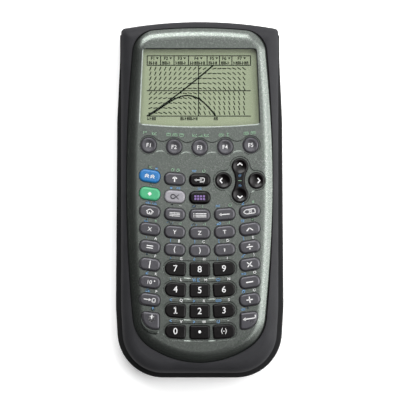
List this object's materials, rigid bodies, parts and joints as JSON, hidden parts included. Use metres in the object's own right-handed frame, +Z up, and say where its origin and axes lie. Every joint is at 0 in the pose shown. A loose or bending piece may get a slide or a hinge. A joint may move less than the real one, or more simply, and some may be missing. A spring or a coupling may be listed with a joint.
{
  "type": "graphing calculator",
  "caption": "Handheld graphing calculator with a grey-green display, metallic faceplate, sprung keys, cursor pad and a slide case stored on its back.",
  "frame": {"origin": "bottom centre of the slide case's floor, with the calculator lying face up", "axes": "+X to the right of the keypad, +Y along the length to the display end, +Z up out of the face"},
  "size_m": [0.0888, 0.188, 0.0269],
  "materials": {
    "faceplate_metallic": "satin metal-flake lacquer over moulded plastic",
    "body_plastic": "fine-textured charcoal moulding",
    "case_plastic": "smooth near-black moulding",
    "grey_key": "satin grey keycap",
    "black_key": "glossy black keycap",
    "blue_key": "satin blue keycap",
    "green_key": "satin green keycap",
    "pale_key": "satin light grey keycap",
    "lcd_glass": "grey-green liquid crystal display",
    "clear_window": "clear acrylic window",
    "silicone": "matt silicone",
    "board": "green solder mask",
    "cell_can": "printed steel cell can",
    "screw_steel": "plated steel"
  },
  "bodies": {
    "calculator": {"front_housing": "body_plastic", "back_housing": "body_plastic", "faceplate": "faceplate_metallic", "display_window": "clear_window", "lcd_module": "lcd_glass", "keypad_membrane": "silicone", "circuit_board": "board", "batteries": "cell_can", "screws": "screw_steel"},
    "battery_door": {"battery_door": "body_plastic"},
    "slide_case": {"slide_case": "case_plastic"},
    "cursor_rocker": {"cursor_rocker": "black_key"},
    "f1_key": {"f1_key": "grey_key"},
    "f2_key": {"f2_key": "grey_key"},
    "f3_key": {"f3_key": "grey_key"},
    "f4_key": {"f4_key": "grey_key"},
    "f5_key": {"f5_key": "grey_key"},
    "second_key": {"second_key": "blue_key"},
    "shift_key": {"shift_key": "grey_key"},
    "escape_key": {"escape_key": "black_key"},
    "diamond_key": {"diamond_key": "green_key"},
    "alpha_key": {"alpha_key": "pale_key"},
    "apps_key": {"apps_key": "black_key"},
    "home_key": {"home_key": "grey_key"},
    "mode_key": {"mode_key": "grey_key"},
    "catalog_key": {"catalog_key": "grey_key"},
    "backspace_key": {"backspace_key": "grey_key"},
    "clear_key": {"clear_key": "grey_key"},
    "x_key": {"x_key": "grey_key"},
    "y_key": {"y_key": "grey_key"},
    "z_key": {"z_key": "grey_key"},
    "t_key": {"t_key": "grey_key"},
    "power_key": {"power_key": "grey_key"},
    "equals_key": {"equals_key": "grey_key"},
    "open_bracket_key": {"open_bracket_key": "grey_key"},
    "close_bracket_key": {"close_bracket_key": "grey_key"},
    "comma_key": {"comma_key": "grey_key"},
    "divide_key": {"divide_key": "grey_key"},
    "bar_key": {"bar_key": "grey_key"},
    "multiply_key": {"multiply_key": "grey_key"},
    "exponent_key": {"exponent_key": "grey_key"},
    "subtract_key": {"subtract_key": "grey_key"},
    "store_key": {"store_key": "grey_key"},
    "add_key": {"add_key": "grey_key"},
    "digit_7_key": {"digit_7_key": "black_key"},
    "digit_8_key": {"digit_8_key": "black_key"},
    "digit_9_key": {"digit_9_key": "black_key"},
    "digit_4_key": {"digit_4_key": "black_key"},
    "digit_5_key": {"digit_5_key": "black_key"},
    "digit_6_key": {"digit_6_key": "black_key"},
    "digit_1_key": {"digit_1_key": "black_key"},
    "digit_2_key": {"digit_2_key": "black_key"},
    "digit_3_key": {"digit_3_key": "black_key"},
    "digit_0_key": {"digit_0_key": "black_key"},
    "decimal_key": {"decimal_key": "black_key"},
    "negate_key": {"negate_key": "black_key"},
    "on_key": {"on_key": "grey_key"},
    "enter_key": {"enter_key": "grey_key"},
    "cursor_left_key": {"cursor_left_key": "black_key"},
    "cursor_right_key": {"cursor_right_key": "black_key"}
  },
  "joints": [
    {"name": "slide_case_off", "type": "slide", "parent": "calculator", "child": "slide_case", "axis": [0, -1, 0], "range_m": [0, 0.186]},
    {"name": "battery_door_hinge", "type": "hinge", "parent": "calculator", "child": "battery_door", "pos_m": [0, -0.05515, 0.00495], "axis": [-1, 0, 0], "range_deg": [0, 1.8]},
    {"name": "cursor_rocker_tip", "type": "hinge", "parent": "calculator", "child": "cursor_rocker", "pos_m": [0.0212, 0.0103, 0.0244], "axis": [1, 0, 0], "range_deg": [-5, 5], "stiffness_Nm_per_rad": 0.03},
    {"name": "f1_key_press", "type": "slide", "parent": "calculator", "child": "f1_key", "axis": [0, 0, -1], "range_m": [0, 0.001], "stiffness_N_per_m": 400},
    {"name": "f2_key_press", "type": "slide", "parent": "calculator", "child": "f2_key", "axis": [0, 0, -1], "range_m": [0, 0.001], "stiffness_N_per_m": 400},
    {"name": "f3_key_press", "type": "slide", "parent": "calculator", "child": "f3_key", "axis": [0, 0, -1], "range_m": [0, 0.001], "stiffness_N_per_m": 400},
    {"name": "f4_key_press", "type": "slide", "parent": "calculator", "child": "f4_key", "axis": [0, 0, -1], "range_m": [0, 0.001], "stiffness_N_per_m": 400},
    {"name": "f5_key_press", "type": "slide", "parent": "calculator", "child": "f5_key", "axis": [0, 0, -1], "range_m": [0, 0.001], "stiffness_N_per_m": 400},
    {"name": "second_key_press", "type": "slide", "parent": "calculator", "child": "second_key", "axis": [0, 0, -1], "range_m": [0, 0.001], "stiffness_N_per_m": 400},
    {"name": "shift_key_press", "type": "slide", "parent": "calculator", "child": "shift_key", "axis": [0, 0, -1], "range_m": [0, 0.001], "stiffness_N_per_m": 400},
    {"name": "escape_key_press", "type": "slide", "parent": "calculator", "child": "escape_key", "axis": [0, 0, -1], "range_m": [0, 0.001], "stiffness_N_per_m": 400},
    {"name": "diamond_key_press", "type": "slide", "parent": "calculator", "child": "diamond_key", "axis": [0, 0, -1], "range_m": [0, 0.001], "stiffness_N_per_m": 400},
    {"name": "alpha_key_press", "type": "slide", "parent": "calculator", "child": "alpha_key", "axis": [0, 0, -1], "range_m": [0, 0.001], "stiffness_N_per_m": 400},
    {"name": "apps_key_press", "type": "slide", "parent": "calculator", "child": "apps_key", "axis": [0, 0, -1], "range_m": [0, 0.001], "stiffness_N_per_m": 400},
    {"name": "home_key_press", "type": "slide", "parent": "calculator", "child": "home_key", "axis": [0, 0, -1], "range_m": [0, 0.001], "stiffness_N_per_m": 400},
    {"name": "mode_key_press", "type": "slide", "parent": "calculator", "child": "mode_key", "axis": [0, 0, -1], "range_m": [0, 0.001], "stiffness_N_per_m": 400},
    {"name": "catalog_key_press", "type": "slide", "parent": "calculator", "child": "catalog_key", "axis": [0, 0, -1], "range_m": [0, 0.001], "stiffness_N_per_m": 400},
    {"name": "backspace_key_press", "type": "slide", "parent": "calculator", "child": "backspace_key", "axis": [0, 0, -1], "range_m": [0, 0.001], "stiffness_N_per_m": 400},
    {"name": "clear_key_press", "type": "slide", "parent": "calculator", "child": "clear_key", "axis": [0, 0, -1], "range_m": [0, 0.001], "stiffness_N_per_m": 400},
    {"name": "x_key_press", "type": "slide", "parent": "calculator", "child": "x_key", "axis": [0, 0, -1], "range_m": [0, 0.001], "stiffness_N_per_m": 400},
    {"name": "y_key_press", "type": "slide", "parent": "calculator", "child": "y_key", "axis": [0, 0, -1], "range_m": [0, 0.001], "stiffness_N_per_m": 400},
    {"name": "z_key_press", "type": "slide", "parent": "calculator", "child": "z_key", "axis": [0, 0, -1], "range_m": [0, 0.001], "stiffness_N_per_m": 400},
    {"name": "t_key_press", "type": "slide", "parent": "calculator", "child": "t_key", "axis": [0, 0, -1], "range_m": [0, 0.001], "stiffness_N_per_m": 400},
    {"name": "power_key_press", "type": "slide", "parent": "calculator", "child": "power_key", "axis": [0, 0, -1], "range_m": [0, 0.001], "stiffness_N_per_m": 400},
    {"name": "equals_key_press", "type": "slide", "parent": "calculator", "child": "equals_key", "axis": [0, 0, -1], "range_m": [0, 0.001], "stiffness_N_per_m": 400},
    {"name": "open_bracket_key_press", "type": "slide", "parent": "calculator", "child": "open_bracket_key", "axis": [0, 0, -1], "range_m": [0, 0.001], "stiffness_N_per_m": 400},
    {"name": "close_bracket_key_press", "type": "slide", "parent": "calculator", "child": "close_bracket_key", "axis": [0, 0, -1], "range_m": [0, 0.001], "stiffness_N_per_m": 400},
    {"name": "comma_key_press", "type": "slide", "parent": "calculator", "child": "comma_key", "axis": [0, 0, -1], "range_m": [0, 0.001], "stiffness_N_per_m": 400},
    {"name": "divide_key_press", "type": "slide", "parent": "calculator", "child": "divide_key", "axis": [0, 0, -1], "range_m": [0, 0.001], "stiffness_N_per_m": 400},
    {"name": "bar_key_press", "type": "slide", "parent": "calculator", "child": "bar_key", "axis": [0, 0, -1], "range_m": [0, 0.001], "stiffness_N_per_m": 400},
    {"name": "multiply_key_press", "type": "slide", "parent": "calculator", "child": "multiply_key", "axis": [0, 0, -1], "range_m": [0, 0.001], "stiffness_N_per_m": 400},
    {"name": "exponent_key_press", "type": "slide", "parent": "calculator", "child": "exponent_key", "axis": [0, 0, -1], "range_m": [0, 0.001], "stiffness_N_per_m": 400},
    {"name": "subtract_key_press", "type": "slide", "parent": "calculator", "child": "subtract_key", "axis": [0, 0, -1], "range_m": [0, 0.001], "stiffness_N_per_m": 400},
    {"name": "store_key_press", "type": "slide", "parent": "calculator", "child": "store_key", "axis": [0, 0, -1], "range_m": [0, 0.001], "stiffness_N_per_m": 400},
    {"name": "add_key_press", "type": "slide", "parent": "calculator", "child": "add_key", "axis": [0, 0, -1], "range_m": [0, 0.001], "stiffness_N_per_m": 400},
    {"name": "digit_7_key_press", "type": "slide", "parent": "calculator", "child": "digit_7_key", "axis": [0, 0, -1], "range_m": [0, 0.001], "stiffness_N_per_m": 400},
    {"name": "digit_8_key_press", "type": "slide", "parent": "calculator", "child": "digit_8_key", "axis": [0, 0, -1], "range_m": [0, 0.001], "stiffness_N_per_m": 400},
    {"name": "digit_9_key_press", "type": "slide", "parent": "calculator", "child": "digit_9_key", "axis": [0, 0, -1], "range_m": [0, 0.001], "stiffness_N_per_m": 400},
    {"name": "digit_4_key_press", "type": "slide", "parent": "calculator", "child": "digit_4_key", "axis": [0, 0, -1], "range_m": [0, 0.001], "stiffness_N_per_m": 400},
    {"name": "digit_5_key_press", "type": "slide", "parent": "calculator", "child": "digit_5_key", "axis": [0, 0, -1], "range_m": [0, 0.001], "stiffness_N_per_m": 400},
    {"name": "digit_6_key_press", "type": "slide", "parent": "calculator", "child": "digit_6_key", "axis": [0, 0, -1], "range_m": [0, 0.001], "stiffness_N_per_m": 400},
    {"name": "digit_1_key_press", "type": "slide", "parent": "calculator", "child": "digit_1_key", "axis": [0, 0, -1], "range_m": [0, 0.001], "stiffness_N_per_m": 400},
    {"name": "digit_2_key_press", "type": "slide", "parent": "calculator", "child": "digit_2_key", "axis": [0, 0, -1], "range_m": [0, 0.001], "stiffness_N_per_m": 400},
    {"name": "digit_3_key_press", "type": "slide", "parent": "calculator", "child": "digit_3_key", "axis": [0, 0, -1], "range_m": [0, 0.001], "stiffness_N_per_m": 400},
    {"name": "digit_0_key_press", "type": "slide", "parent": "calculator", "child": "digit_0_key", "axis": [0, 0, -1], "range_m": [0, 0.001], "stiffness_N_per_m": 400},
    {"name": "decimal_key_press", "type": "slide", "parent": "calculator", "child": "decimal_key", "axis": [0, 0, -1], "range_m": [0, 0.001], "stiffness_N_per_m": 400},
    {"name": "negate_key_press", "type": "slide", "parent": "calculator", "child": "negate_key", "axis": [0, 0, -1], "range_m": [0, 0.001], "stiffness_N_per_m": 400},
    {"name": "on_key_press", "type": "slide", "parent": "calculator", "child": "on_key", "axis": [0, 0, -1], "range_m": [0, 0.001], "stiffness_N_per_m": 400},
    {"name": "enter_key_press", "type": "slide", "parent": "calculator", "child": "enter_key", "axis": [0, 0, -1], "range_m": [0, 0.001], "stiffness_N_per_m": 400},
    {"name": "cursor_left_key_press", "type": "slide", "parent": "calculator", "child": "cursor_left_key", "axis": [0, 0, -1], "range_m": [0, 0.001], "stiffness_N_per_m": 400},
    {"name": "cursor_right_key_press", "type": "slide", "parent": "calculator", "child": "cursor_right_key", "axis": [0, 0, -1], "range_m": [0, 0.001], "stiffness_N_per_m": 400}
  ]
}
